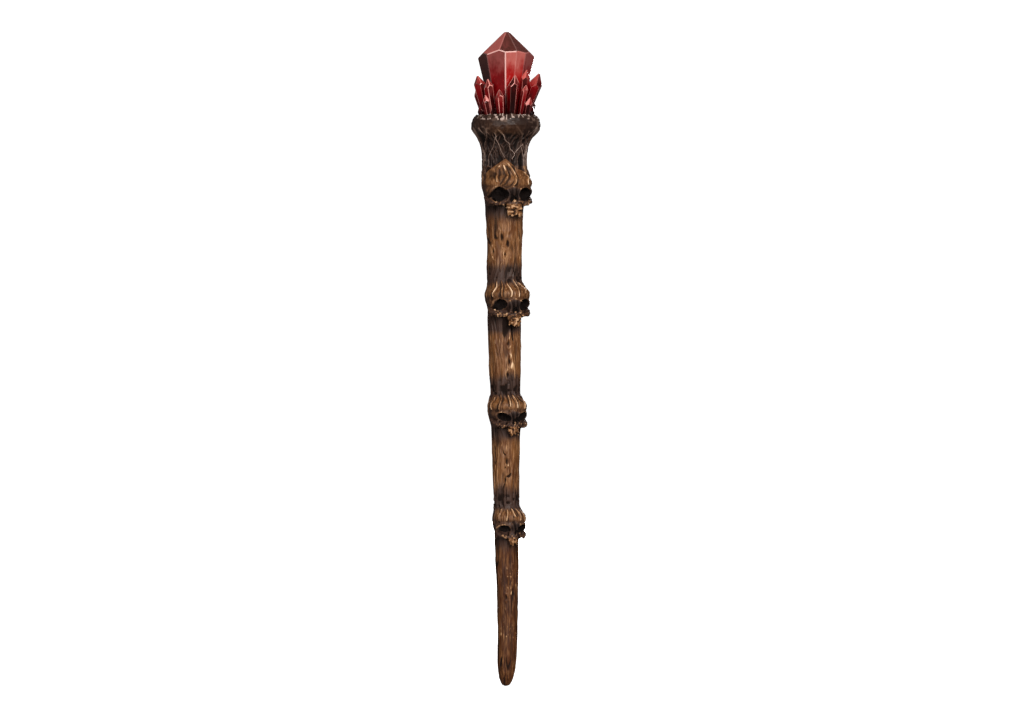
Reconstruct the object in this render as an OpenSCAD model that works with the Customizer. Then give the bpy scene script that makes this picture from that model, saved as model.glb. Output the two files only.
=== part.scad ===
// Wizard wand: turned shaft lengths and four skulls threaded on a steel core rod,
// a flared collar on top, and a cluster of faceted crystals bedded in the collar.
// Millimetres. The origin is the lowest point of the tip, on the axis, and +Z runs up to the crystal.

/* [Shaft] */
// Radius of the plain band above the tip, which a display stand's socket takes
pin_r = 3.8; // [3.6:0.05:4]
// Height of the band's lower edge, where the rounded tip ends
pin_low = 9; // [8:0.5:10]
// Length of the band
pin_len = 15; // [10:1:18]
// Radius gained for each millimetre of height above the band
taper = 0.0212; // [0.019:0.0002:0.022]

/* [Core rod] */
// Radius of the steel rod
rod_r = 1.5; // [1:0.1:1.6]
// Height of the rod's lower end
rod_low = 12; // [10:1:20]
// Glue gap round the rod and round each spigot
glue_gap = 0.05; // [0.03:0.01:0.1]
// Length of each spigot
spigot_len = 2; // [1:0.5:2.5]

/* [Skulls] */
// Height of the top skull's eyes
eye_h = 188; // [187:0.5:189]
// Distance from one skull's eyes to the next skull's
skull_pitch = 42.5; // [42:0.1:43]
// Half width of the top skull
skull_half_w = 9.4; // [9:0.1:9.8]
// Share of that width that each skull loses against the one above it
skull_shrink = 0.115; // [0.1:0.005:0.13]
// Share of the top skull's height that each skull loses
skull_squat = 0.04; // [0.02:0.01:0.05]
// Angle that the top face is turned from the front towards +X
face_turn = 18; // [0:1:24]
// Further turn of each face against the one above it
turn_step = 3; // [0:0.5:4]

/* [Collar] */
// Largest radius of the flared rim
rim_r = 13.6; // [13.2:0.1:14]
// Height of the rim's top edge
rim_h = 218.4; // [217:0.1:219]
// Radius of the neck under the flare
neck_r = 8.6; // [8.2:0.1:8.8]
// How far the neck ends below the rim's top edge
neck_drop = 13.6; // [13:0.1:14]
// Height of the flare between the neck and the rim
flare_len = 9.2; // [8.8:0.1:9.4]
// Depth of the pocket that holds the crystals
pocket_depth = 7.4; // [6:0.1:7.6]
// Radius of the pocket at its floor
pocket_floor_r = 9.2; // [9:0.1:9.4]
// Radius of the pocket at its mouth
pocket_mouth_r = 11.4; // [11:0.1:11.6]

/* [Crystals] */
// Height of the large crystal's point
wand_h = 250; // [246:1:254]
// Half width of the large crystal at its shoulder
gem_r = 10.9; // [10:0.1:11.2]
// Height of that shoulder
gem_shoulder_h = 240.1; // [238:0.1:241]
// Half width of the large crystal's foot in the pocket
gem_foot_r = 3.9; // [3.5:0.1:4.4]

/* [Hidden] */
$fn = 64;
HULL_FN = 32;
RELIEF_FN = 20;
EPS = 0.01;
// Thickness of the glue film under each skull
SEAM = 0.02;

// Each small crystal: angle round the wand, distance of its foot from the axis, lean outwards,
// height of its point above the pocket's floor, radius at its shoulder, spin about its own axis.
// The inner ring hugs the large crystal, and the outer ring stands in front of it.
CRYSTALS = [
    [200, 6.2, 13.5, 21.6, 2.6, 10],
    [229, 6.2, 13, 20.0, 2.1, 35],
    [256, 6.2, 17, 15.9, 1.9, 0],
    [287, 6.2, 11, 21.4, 2.4, 20],
    [313, 6.2, 15, 17.8, 1.4, 5],
    [326, 5.2, 10, 23.6, 1.9, 40],
    [346, 4.6, 20, 22.4, 2.9, 28],
    [14, 6.2, 13, 18.6, 2.0, 15],
    [40, 6.2, 10, 22.8, 2.3, 40],
    [70, 6.2, 14, 20.4, 2.4, 8],
    [103, 6.2, 12, 23.0, 2.6, 25],
    [136, 6.2, 15, 18.8, 2.4, 0],
    [169, 6.2, 16, 17.4, 2.2, 30],
    [226, 7.7, 15, 13.8, 1.7, 20],
    [198, 7.5, 17, 9.8, 1.6, 12],
    [324, 7.7, 15, 13.0, 1.6, 45],
    [343, 7.7, 14, 10.2, 1.7, 18],
    [25, 7.6, 16, 13.8, 1.7, 33],
    [86, 7.6, 15, 12.6, 1.7, 5],
    [120, 7.6, 16, 14.4, 1.6, 22],
    [153, 7.5, 17, 11.0, 1.6, 50]
];

// Outline of the large crystal at its shoulder, in half widths, from the left round the front
GEM_OUTLINE = [
    [-1, 0], [-0.66, -0.58], [-0.02, -0.82], [0.36, -0.77], [0.68, -0.56],
    [1, 0.03], [0.7, 0.68], [0, 0.95], [-0.7, 0.66]
];
// Direction of each ridge of its roof, from the front towards +X
GEM_RIDGES = [-66, -19, 25, 66, 110, 155, 200, 248];

CRYSTAL_NODES = [
    "left_tall_crystal", "left_front_crystal", "front_low_crystal", "front_tall_crystal",
    "right_slim_crystal", "right_inner_crystal", "right_tall_crystal", "right_rear_crystal",
    "rear_right_crystal", "rear_right_centre_crystal", "rear_centre_crystal",
    "rear_left_crystal", "left_rear_crystal",
    "left_front_point", "left_point", "right_front_point", "right_point",
    "rear_right_point", "rear_point", "rear_left_point", "left_rear_point"
];

pin_top = pin_low + pin_len;
floor_h = rim_h - pocket_depth;
bore_r = rod_r + glue_gap;
crown_rise = 10.7;
base_drop = 4.6;
jaw_drop = 8.8;
collar_low = eye_h + crown_rise;

function skull_w(i) = skull_half_w * (1 - skull_shrink * i);
function skull_v(i) = 1 - skull_squat * i;
function eye_z(i) = eye_h - skull_pitch * i;
function crown_z(i) = eye_z(i) + crown_rise * skull_v(i);
function base_z(i) = eye_z(i) - base_drop * skull_v(i);
function shaft_r(z) = pin_r + max(0, z - pin_top) * taper;
function spigot_r(z) = 0.6 * shaft_r(z);
function crown_r(i) = i == 0 ? neck_r : shaft_r(crown_z(i));
function pocket_r(z) = pocket_floor_r + (pocket_mouth_r - pocket_floor_r) * (z - floor_h) / pocket_depth;

// A bore for the core rod, right through the height given.
module rod_bore(low, high) {
    translate([0, 0, low - EPS])
        cylinder(h = high - low + 2 * EPS, r = bore_r);
}

// One shaft length between two skulls, with a spigot at each end.
module shaft_length(low, high) {
    difference() {
        union() {
            translate([0, 0, low])
                cylinder(h = high - low, r1 = shaft_r(low), r2 = shaft_r(high));
            translate([0, 0, low - spigot_len])
                cylinder(h = high - low + 2 * spigot_len, r = spigot_r(low));
        }
        rod_bore(low - spigot_len, high + spigot_len);
    }
}

// The lowest length: a rounded tip, the plain band, the taper and one spigot.
// The rod stops in its blind bore.
module tip_shaft() {
    high = base_z(3);
    color([0.24, 0.14, 0.08])
        difference() {
            union() {
                rotate_extrude()
                    polygon(concat(
                        [for (a = [0:9:90]) [pin_r * pow(sin(a), 0.85), pin_low * (1 - cos(a))]],
                        [[pin_r, pin_top], [shaft_r(high), high], [0, high]]
                    ));
                translate([0, 0, high - EPS])
                    cylinder(h = spigot_len + EPS, r = spigot_r(high));
            }
            rod_bore(rod_low, high + spigot_len);
        }
}

module lower_shaft() {
    color([0.40, 0.26, 0.14])
        shaft_length(crown_z(3), base_z(2));
}

module middle_shaft() {
    color([0.38, 0.25, 0.14])
        shaft_length(crown_z(2), base_z(1));
}

module upper_shaft() {
    color([0.40, 0.27, 0.15])
        shaft_length(crown_z(1), base_z(0));
}

module core_rod() {
    color([0.62, 0.63, 0.65])
        translate([0, 0, rod_low])
            cylinder(h = floor_h - rod_low, r = rod_r);
}

// The cranium: a ball that leans forward out of the shaft, blended up to the crown.
module cranium(i) {
    w = skull_w(i);
    rise = crown_rise * skull_v(i);
    drop = base_drop * skull_v(i);
    intersection() {
        hull() {
            translate([0, 0, rise - 0.5])
                cylinder(h = 0.5, r = crown_r(i), $fn = HULL_FN);
            translate([0, -0.1 * w, 0.2 * w])
                sphere(r = w, $fn = HULL_FN);
            translate([0, 0, -drop - 0.5])
                cylinder(h = 1, r = 0.88 * w, $fn = HULL_FN);
        }
        translate([-2 * w, -2 * w, -drop])
            cube([4 * w, 4 * w, rise + drop]);
    }
}

// Brow, cheekbone arches, upper jaw and teeth, in front of the cranium.
module face_relief(i) {
    w = skull_w(i);
    drop = base_drop * skull_v(i);
    jaw = jaw_drop * skull_v(i);
    for (side = [-1, 1]) {
        hull() {
            translate([side * 0.17 * w, -0.95 * w, 0.37 * w])
                sphere(r = 0.2 * w, $fn = RELIEF_FN);
            translate([side * 0.73 * w, -0.62 * w, 0.4 * w])
                sphere(r = 0.19 * w, $fn = RELIEF_FN);
        }
        hull() {
            translate([side * 0.84 * w, -0.08 * w, -0.55 * drop])
                sphere(r = 0.2 * w, $fn = RELIEF_FN);
            translate([side * 0.6 * w, -0.74 * w, -0.66 * drop])
                sphere(r = 0.23 * w, $fn = RELIEF_FN);
        }
    }
    hull() {
        translate([0, -0.92 * w, -0.1 * w])
            sphere(r = 0.2 * w, $fn = RELIEF_FN);
        translate([0, -0.5 * w, -0.84 * jaw])
            cylinder(h = 0.2 * w, r = 0.5 * w, $fn = HULL_FN);
    }
    for (a = [-50:20:50])
        translate([0.48 * w * sin(a), -(0.5 + 0.48 * cos(a)) * w, -jaw])
            cylinder(h = 0.24 * w, r = 0.08 * w);
}

// What a skull leaves free: the shaft below it, which its jaw hangs in front of,
// a pocket for each spigot, and the bore for the core rod.
module skull_seat(low, high) {
    deep = spigot_len + glue_gap;
    low_r = spigot_r(low) + glue_gap;
    high_r = spigot_r(high) + glue_gap;
    reach = jaw_drop + 1;
    rotate_extrude()
        polygon([
            [0, low - reach], [shaft_r(low - reach), low - reach], [shaft_r(low), low + SEAM],
            [low_r, low + SEAM], [low_r, low + deep], [bore_r, low + deep],
            [bore_r, high - deep], [high_r, high - deep], [high_r, high + 1], [0, high + 1]
        ]);
}

module skull(i) {
    w = skull_w(i);
    low = base_z(i);
    high = crown_z(i);
    color([0.55, 0.38, 0.21])
        difference() {
            translate([0, 0, eye_z(i)])
                rotate(face_turn + turn_step * i)
                    difference() {
                        union() {
                            cranium(i);
                            face_relief(i);
                        }
                        for (side = [-1, 1])
                            translate([side * 0.52 * w, -1.02 * w, -0.01 * w])
                                sphere(r = 0.34 * w);
                        translate([0, -1.4 * w, -0.36 * w])
                            rotate([-90, 30, 0])
                                cylinder(h = 0.6 * w, r = 0.2 * w, $fn = 3);
                    }
            skull_seat(low, high);
        }
}

// The flared collar, rounded over at the rim by its lip. Its spigot seats in the top skull,
// and its pocket widens upwards.
module collar() {
    neck_h = rim_h - neck_drop;
    flare_h = neck_h + flare_len;
    lip = 1.4;
    bend_steps = 5;
    color([0.22, 0.16, 0.13])
        difference() {
            union() {
                rotate_extrude()
                    polygon(concat(
                        [[0, collar_low], [neck_r, collar_low], [neck_r, neck_h]],
                        [for (n = [1:bend_steps])
                            let (t = n / bend_steps)
                            [neck_r + (rim_r - neck_r) * pow(t, 1.5), neck_h + flare_len * t]],
                        [[rim_r, flare_h + 1.1 * lip], [rim_r - 0.4 * lip, rim_h - 0.8 * lip]],
                        [[rim_r - lip, rim_h], [0, rim_h]]
                    ));
                translate([0, 0, collar_low - spigot_len])
                    cylinder(h = spigot_len + EPS, r = spigot_r(collar_low));
            }
            translate([0, 0, floor_h])
                cylinder(h = pocket_depth + EPS, r1 = pocket_floor_r, r2 = pocket_r(rim_h + EPS));
            rod_bore(collar_low - spigot_len, floor_h);
        }
}

// A small crystal standing on the origin: a prism that widens upwards, cut by a pointed
// roof that is turned and shifted against it, so that its shoulder line zigzags.
module crystal_point(wide_r, top) {
    shoulder = top - 1.7 * wide_r;
    foot_r = 0.55 * wide_r;
    blunt_r = 0.12 * wide_r;
    growth = (wide_r - foot_r) / shoulder;
    roof_slope = (wide_r / cos(30) - blunt_r) / (top - shoulder);
    intersection() {
        cylinder(h = top, r1 = foot_r, r2 = foot_r + growth * top, $fn = 6);
        translate([0.15 * wide_r, 0.1 * wide_r, 0])
            rotate(22)
                cylinder(h = top, r1 = blunt_r + roof_slope * top, r2 = blunt_r, $fn = 6);
    }
}

// The large crystal, built the same way from its own outline and ridges.
module gem_shape() {
    top = wand_h - floor_h;
    shoulder = gem_shoulder_h - floor_h;
    prism_top = gem_foot_r + (gem_r - gem_foot_r) / shoulder * top;
    blunt_r = 1;
    roof_slope = (1.09 * gem_r - blunt_r) / (top - shoulder);
    roof_low = blunt_r + roof_slope * top;
    translate([0, 0, floor_h])
        intersection() {
            linear_extrude(height = top, scale = prism_top / gem_foot_r)
                polygon(gem_foot_r * GEM_OUTLINE);
            translate([0.3, 0, 0])
                linear_extrude(height = top, scale = blunt_r / roof_low)
                    polygon([for (a = GEM_RIDGES) roof_low * [sin(a), -cos(a)]]);
        }
}

module side_crystal_shape(i) {
    c = CRYSTALS[i];
    rotate(c[0])
        translate([c[1], 0, floor_h + 0.6])
            rotate([0, c[2], 0])
                rotate(c[5])
                    crystal_point(c[4], c[3] / cos(c[2]));
}

// True where two small crystals stand close enough to touch.
function near(i, j) =
    let (turn = abs(CRYSTALS[i][0] - CRYSTALS[j][0]))
    min(turn, 360 - turn) < 62;

// A small crystal is ground back where it meets the large one or an earlier neighbour.
module side_crystal(i) {
    color([0.62, 0.06, 0.07])
        difference() {
            side_crystal_shape(i);
            gem_shape();
            for (j = [0:1:i - 1])
                if (near(i, j))
                    side_crystal_shape(j);
        }
}

module large_crystal() {
    color([0.60, 0.05, 0.06])
        gem_shape();
}

// Casting resin that fills the pocket round the crystals' feet.
module crystal_bed() {
    color([0.10, 0.04, 0.03])
        difference() {
            rotate_extrude()
                polygon([
                    [0, floor_h], [pocket_r(floor_h), floor_h], [pocket_r(rim_h - 1), rim_h - 1],
                    [pocket_floor_r, rim_h + 0.2], [0, rim_h + 0.8]
                ]);
            gem_shape();
            for (i = [0:len(CRYSTALS) - 1])
                side_crystal_shape(i);
        }
}

core_rod();
tip_shaft();
lower_shaft();
middle_shaft();
upper_shaft();
skull(0);  // skull_1
skull(1);  // skull_2
skull(2);  // skull_3
skull(3);  // skull_4
collar();
crystal_bed();
large_crystal();
for (i = [0:len(CRYSTALS) - 1])
    side_crystal(i);
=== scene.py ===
import math
import bpy
import numpy as np
from mathutils import Matrix, Vector


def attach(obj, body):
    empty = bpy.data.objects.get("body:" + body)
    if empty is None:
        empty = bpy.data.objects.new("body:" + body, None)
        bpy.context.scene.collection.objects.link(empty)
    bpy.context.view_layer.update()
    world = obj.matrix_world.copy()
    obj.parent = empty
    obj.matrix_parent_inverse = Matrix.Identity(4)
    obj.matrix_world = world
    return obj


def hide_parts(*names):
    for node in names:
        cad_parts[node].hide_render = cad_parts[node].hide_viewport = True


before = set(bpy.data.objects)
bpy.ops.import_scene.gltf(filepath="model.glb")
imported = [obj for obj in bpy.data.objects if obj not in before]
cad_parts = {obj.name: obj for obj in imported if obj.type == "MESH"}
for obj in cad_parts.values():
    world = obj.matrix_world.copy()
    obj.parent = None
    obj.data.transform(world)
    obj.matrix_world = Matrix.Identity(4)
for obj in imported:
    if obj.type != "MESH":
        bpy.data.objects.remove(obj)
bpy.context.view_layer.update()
print("frame loaded")

# Everything is modelled in millimetres and brought to metres when it is finished.
millimetre = 0.001


# ---- handling pieces ----

def deselectAll():
    if bpy.context.object and bpy.context.object.mode != "OBJECT":
        bpy.ops.object.mode_set(mode="OBJECT")
    bpy.ops.object.select_all(action="DESELECT")


def pick(piece, *others):
    deselectAll()
    for each in (piece, *others):
        each.select_set(True)
    bpy.context.view_layer.objects.active = piece


def applyModifier(piece, kind, **settings):
    pick(piece)
    modifier = piece.modifiers.new(kind.title(), kind)
    for key, value in settings.items():
        setattr(modifier, key, value)
    bpy.ops.object.modifier_apply(modifier=modifier.name)


def readPoints(piece, what="co"):
    flat = np.empty(len(piece.data.vertices) * 3)
    piece.data.vertices.foreach_get(what, flat)
    return flat.reshape(-1, 3)


def writePoints(piece, places):
    piece.data.vertices.foreach_set("co", places.ravel())
    piece.data.update()


def writeAttribute(piece, name, values, domain="POINT"):
    layer = piece.data.attributes.new(name, "FLOAT", domain)
    layer.data.foreach_set("value", np.asarray(values, dtype=np.float32))


# what the paint reads: relief, height of the carving; a dark glaze that is also painted shade on the skulls'
# sides; rubbed paint that is also painted glints on the grit at the front; black paint and painted shadow
# under the skulls; and bone, 0 for the piece's own colours to 1 for the skulls'
def paintPiece(piece, relief, washAndShade, giltAndGlint, blackAndShadow, bone=0.0):
    writeAttribute(piece, "relief", relief)
    for name, values, most in (("washAndShade", washAndShade, 1), ("giltAndGlint", giltAndGlint, 1.1), ("blackAndShadow", blackAndShadow, 1), ("bone", bone, 1)):
        writeAttribute(piece, name, np.clip(values, 0, most) + np.zeros(len(piece.data.vertices)))


def joinAll(pieces):
    pick(*pieces)
    bpy.ops.object.join()
    return bpy.context.object


def smoothStep(low, high, value):
    share = np.clip((value - low) / (high - low), 0, 1)
    return share * share * (3 - 2 * share)


# ---- random surfaces that close up round the wand ----

# soft noise, 0 to 1: around counts the cells round the wand, tall is a cell's height in mm
def patches(turn, height, around, tall, seed):
    rows = 256
    cells = np.random.default_rng(seed).random((rows, around))
    across = (turn % 1.0) * around
    up = height / tall + rows
    column, row = np.floor(across).astype(int), np.floor(up).astype(int)
    shareAcross, shareUp = smoothStep(0, 1, across - column), smoothStep(0, 1, up - row)
    left, right = column % around, (column + 1) % around
    low, high = row % rows, (row + 1) % rows
    bottom = cells[low, left] * (1 - shareAcross) + cells[low, right] * shareAcross
    top = cells[high, left] * (1 - shareAcross) + cells[high, right] * shareAcross
    return bottom * (1 - shareUp) + top * shareUp


def turnOf(places):
    return (np.arctan2(places[:, 1], places[:, 0]) / (2 * math.pi)) % 1.0


def angleGap(first, second):  # signed difference of two angles in degrees
    return (first - second + 180) % 360 - 180


def frontAngle(turn):  # degrees from straight in front, positive to the right
    return angleGap(turn * 360, 270)


grain = {
    "lines": 26,        # ridges round the shaft
    "tall": 15,         # how far a ridge runs before it changes, mm
    "sway": 1.1,        # how far lines wander sideways, in line widths
    "knotPush": 1.6,    # how far lines part round a knot, in line widths
    "seed": 110,
    # knots: angle round the wand in degrees (270 is the front), height in mm, size in mm
    "knots": [(262, 34, 0.8), (150, 48, 1.1), (80, 30, 1.0),
              (274, 86, 1.0), (268, 79, 0.8), (120, 83, 1.3), (60, 92, 1.0),
              (288, 124, 1.3), (280, 119, 0.9), (284, 131, 1.0), (100, 128, 1.4), (180, 120, 1.2),
              (262, 171.5, 1.3), (281, 169, 1.2), (228, 166, 1.1), (272, 165, 0.9), (90, 170, 1.6),
              (160, 164, 1.3)],
}
# (height, bare radius) of the wand in mm; the skulls stand outside it
bareShape = [
    (0.5, 1.45), (1.4, 2.05), (3.1, 2.75), (5.4, 3.2), (7.6, 3.5), (9.9, 3.68), (14.5, 3.86), (24, 4.0),
    (33, 4.12), (42, 4.32), (49, 4.5), (58.5, 4.66), (69.9, 4.92), (79, 5.02), (86, 5.2), (92.5, 5.36),
    (98.8, 5.72), (112.8, 5.86), (118, 5.98), (128, 6.2), (135, 6.36), (141.2, 6.55), (155.8, 6.78),
    (161, 6.72), (170, 6.9), (177, 7.1), (183.6, 7.4), (198.7, 8.5)]
# (height, sideways drift of the middle line) in mm
driftShape = [
    (0, 0), (3, 0.1), (10, 0.35), (17, 0.62), (30, 0.68), (42, 0.45), (54, 0.2), (76, 0.05), (96, -0.12),
    (113, -0.36), (131, -0.5), (150, -0.6), (200, -0.62), (208, -0.5), (211, -0.2), (214, -0.05), (219, 0)]
graspSeams = [69.9, 112.8, 155.8]  # where a skull's crown meets the shaft over it: pitted and dark


def bareRadius(height):
    return np.interp(height, *zip(*bareShape))


def axisDrift(height):
    return np.interp(height, *zip(*driftShape))


def grainDepth(height):
    return np.interp(height, [0, 4, 60, 120, 200], [0.2, 0.42, 0.55, 0.68, 0.78])


# height of the carved grain, 0 in a groove to 1 on a crest, and how deep in a pit or crack
def woodGrain(turn, height):
    radius = bareRadius(height)
    seed = grain["seed"]
    shift = grain["sway"] * 2 * (patches(turn, height, 5, 15, seed) - 0.5)
    shift += grain["sway"] * 0.8 * (patches(turn, height, 11, 5, seed + 1) - 0.5)
    pit = np.zeros(len(turn))
    bulge = np.zeros(len(turn))
    for knotAngle, knotHeight, size in grain["knots"]:
        across = angleGap(turn * 360, knotAngle) * math.pi / 180 * radius
        up = (height - knotHeight) / 2.4
        near = np.exp(-(across ** 2 + up ** 2) / size ** 2)
        shift += np.tanh(across / (0.4 * size)) * near * grain["knotPush"]
        ring = np.hypot(across, up) / size
        ragged = ring * (0.7 + 0.8 * patches(turn, height, 40, 1.2, seed + 9))
        pit = np.maximum(pit, np.exp(-((ragged / 0.42) ** 2)) * 0.8)
        bulge += np.exp(-(((ring - 0.8) / 0.22) ** 2)) * 0.24
    lines = grain["lines"]
    swayed = turn + shift / lines
    plates = np.abs(2 * patches(swayed, height, lines, grain["tall"], seed + 2) - 1) ** 0.7
    crests = (1 - np.abs(2 * patches(swayed, height, lines, grain["tall"] * 0.7, seed + 3) - 1)) ** 3
    fine = 1 - np.abs(2 * patches(swayed, height, lines * 2, 8, seed + 4) - 1)
    hair = patches(swayed, height, lines * 4, 4, seed + 5)
    crack = smoothStep(0.86, 0.98, 1 - np.abs(2 * patches(swayed, height, lines // 2, 18, seed + 6) - 1))
    crack *= smoothStep(0.5, 0.62, patches(turn, height, 9, 8, seed + 7))
    for seam in graspSeams:
        band = np.exp(-((height - seam - 0.4) / 2.4) ** 2)
        pit = np.maximum(pit, band * smoothStep(0.55, 0.85, patches(turn, height, 34, 1.3, seed + 8)) * 0.9)
    pit = np.maximum(pit, crack * 0.7)
    level = 0.36 * plates + 0.34 * crests + 0.26 * fine + 0.2 * hair + bulge
    return level - 0.8 * pit, pit


def carveRadially(piece, amount):  # moves each point out from the axis by its own amount, mm
    places = readPoints(piece)
    radius = np.maximum(np.hypot(places[:, 0], places[:, 1]), 0.001)
    places[:, :2] *= ((radius + amount) / radius)[:, None]
    writePoints(piece, places)


def reliefOf(piece, rounds):  # how far each point stands out of a smoothed copy of the surface, mm
    places = readPoints(piece)
    ends = np.empty(len(piece.data.edges) * 2, dtype=np.int64)
    piece.data.edges.foreach_get("vertices", ends)
    first, second = ends[0::2], ends[1::2]
    count = len(places)
    neighbours = np.maximum(np.bincount(first, minlength=count) + np.bincount(second, minlength=count), 1)
    smooth = places.copy()
    for _ in range(rounds):
        for axis in range(3):
            column = smooth[:, axis].copy()
            total = np.bincount(first, column[second], count) + np.bincount(second, column[first], count)
            smooth[:, axis] = 0.5 * column + 0.5 * total / neighbours
    return ((places - smooth) * readPoints(piece, "normal")).sum(axis=1)


def finishPiece(piece, name, node, material, smoothAngle):
    pick(piece)
    bpy.ops.object.transform_apply(location=True, rotation=True, scale=True)
    writePoints(piece, readPoints(piece) * millimetre)
    piece.name = piece.data.name = name
    piece.data.materials.clear()
    piece.data.materials.append(material)
    bpy.ops.object.shade_smooth_by_angle(angle=math.radians(smoothAngle))
    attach(piece, "root")
    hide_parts(node)
    print("finished", name, len(piece.data.polygons), "faces")


# ---- materials ----

def colour(red, green, blue):  # from 0-255 screen values to a linear colour
    def linear(value):
        value /= 255
        return value / 12.92 if value <= 0.04045 else ((value + 0.055) / 1.055) ** 2.4
    return (linear(red), linear(green), linear(blue), 1.0)


class Wire:  # one output of a material's node, so that its maths can be written as an expression
    def __init__(self, paint, socket):
        self.paint, self.socket = paint, socket

    def maths(self, operation, first, second=0.0):
        return self.paint.add("ShaderNodeMath", {"operation": operation}, {0: first, 1: second})

    def __add__(self, other): return self.maths("ADD", self, other)
    def __radd__(self, other): return self.maths("ADD", other, self)
    def __sub__(self, other): return self.maths("SUBTRACT", self, other)
    def __rsub__(self, other): return self.maths("SUBTRACT", other, self)
    def __mul__(self, other): return self.maths("MULTIPLY", self, other)
    def __rmul__(self, other): return self.maths("MULTIPLY", other, self)

    def between(self, low, high):  # 0 at low and under it, 1 at high and over it
        return self.paint.add(
            "ShaderNodeMapRange", {"interpolation_type": "SMOOTHSTEP"},
            {"Value": self, "From Min": low, "From Max": high, "To Min": 0.0, "To Max": 1.0})


class Paint:  # a material while its nodes are laid out
    def __init__(self, name):
        self.material = bpy.data.materials.new(name)
        self.material.use_nodes = True
        self.tree = self.material.node_tree
        self.tree.nodes.clear()

    def add(self, kind, settings=None, inputs=None, output=0):
        node = self.tree.nodes.new(kind)
        for key, value in (settings or {}).items():
            setattr(node, key, value)
        for key, value in (inputs or {}).items():
            if isinstance(value, Wire):
                self.tree.links.new(value.socket, node.inputs[key])
            else:
                node.inputs[key].default_value = value
        return None if output is None else Wire(self, node.outputs[output])

    def blend(self, share, first, second, mode="MIX"):
        settings = {"data_type": "RGBA", "blend_type": mode}
        return self.add("ShaderNodeMix", settings, {0: share, 6: first, 7: second}, 2)

    def attribute(self, name):
        return self.add("ShaderNodeAttribute", {"attribute_name": name}, output="Fac")

    def noise(self, stretch, scale, detail=3.0, rough=0.55):
        place = self.add("ShaderNodeTexCoord", output="Object")
        place = self.add("ShaderNodeMapping", inputs={"Vector": place, "Scale": stretch})
        return self.add("ShaderNodeTexNoise", None,
                        {"Vector": place, "Scale": scale, "Detail": detail, "Roughness": rough})

    def finish(self, inputs):
        shader = self.add("ShaderNodeBsdfPrincipled", None, inputs)
        self.add("ShaderNodeOutputMaterial", None, {"Surface": shader}, None)
        return self.material


def paintedResin(name, look):
    paint = Paint(name)
    relief, washAndShade, bone, giltAndGlint, blackAndShadow = map(paint.attribute, ("relief", "washAndShade", "bone", "giltAndGlint", "blackAndShadow"))
    streak = paint.noise((1, 1, 0.1), 1900, 5, 0.62)
    broad = paint.noise((1, 1, 0.1), 700, 3)
    mottle = paint.noise((1, 1, 0.5), 260, 3)
    pit = paint.noise((1, 1, 0.6), 4200, 2)

    def tone(key):
        return paint.blend(bone, look[key], skullLook[key])

    body = paint.blend((0.5 * mottle + 0.5 * broad).between(0.38, 0.62), tone("shade"), tone("body"))
    body = paint.blend(streak.between(0.44, 0.68) * look["streaks"], body, tone("tan"))
    body = paint.blend((0.0 - streak).between(-0.46, -0.3) * 0.6, body, look["shade"])
    body = paint.blend((washAndShade * (0.7 + 0.6 * mottle)).between(0.05, 0.95), body, look["washAndShade"])
    edge = relief + (streak - 0.5) * look["brushBreak"]
    rubbedAndGlint = edge.between(look["brushLow"], look["brushHigh"]) * giltAndGlint
    body = paint.blend(rubbedAndGlint.between(0.0, 0.7), body, tone("tan"))
    body = paint.blend(rubbedAndGlint.between(0.45, 1.05), body, tone("light"))
    groove = 0.0 - relief + (pit - 0.5) * 0.08 + (streak - 0.5) * 0.25
    dark = groove.between(look["grooveLow"], look["grooveHigh"])
    body = paint.blend(dark * 0.9, body, look["groove"])
    body = paint.blend(blackAndShadow, body, look["blackAndShadow"])
    roughness = look["roughness"] + 0.2 * dark + 0.14 * (mottle - 0.5) + 0.35 * blackAndShadow
    bump = paint.add("ShaderNodeBump", None, {
        "Strength": 0.6, "Distance": 0.00012, "Height": 0.65 * streak + 0.35 * pit})
    return paint.finish({
        "Base Color": body, "Roughness": roughness, "Normal": bump,
        "Specular IOR Level": 0.18, "Coat Weight": (1 - dark) * (1 - blackAndShadow) * 0.07, "Coat Roughness": 0.3})


woodLook = {
    "shade": colour(84, 46, 19), "body": colour(122, 78, 42), "tan": colour(184, 138, 98),
    "light": colour(234, 196, 156), "washAndShade": colour(62, 42, 34), "groove": colour(26, 11, 4),
    "blackAndShadow": colour(15, 6, 4), "roughness": 0.52, "streaks": 0.55,
    "brushLow": 0.1, "brushHigh": 0.55, "brushBreak": 0.6, "grooveLow": 0.1, "grooveHigh": 0.55,
}
skullLook = dict(woodLook, shade=colour(82, 46, 19), body=colour(120, 77, 42), tan=colour(180, 134, 94),
                 light=colour(246, 212, 176), streaks=0.35, brushBreak=0.2)
tipLook = dict(woodLook, shade=colour(56, 24, 6), body=colour(80, 42, 16), tan=colour(142, 96, 58),
               light=colour(196, 156, 114), washAndShade=colour(50, 27, 16), streaks=0.6,
               grooveLow=0.0, grooveHigh=0.45)
collarLook = dict(woodLook, shade=colour(38, 22, 16), body=colour(60, 38, 28), tan=colour(116, 92, 80),
                  light=colour(178, 158, 148), washAndShade=colour(36, 22, 17), groove=colour(12, 5, 3), streaks=0.25,
                  brushBreak=0.3)

woodPaint = paintedResin("brownWoodPaint", woodLook)
tipPaint = paintedResin("darkTipPaint", tipLook)
skullPaint = paintedResin("bonePaint", woodLook)
collarPaint = paintedResin("rootPaint", collarLook)


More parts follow.
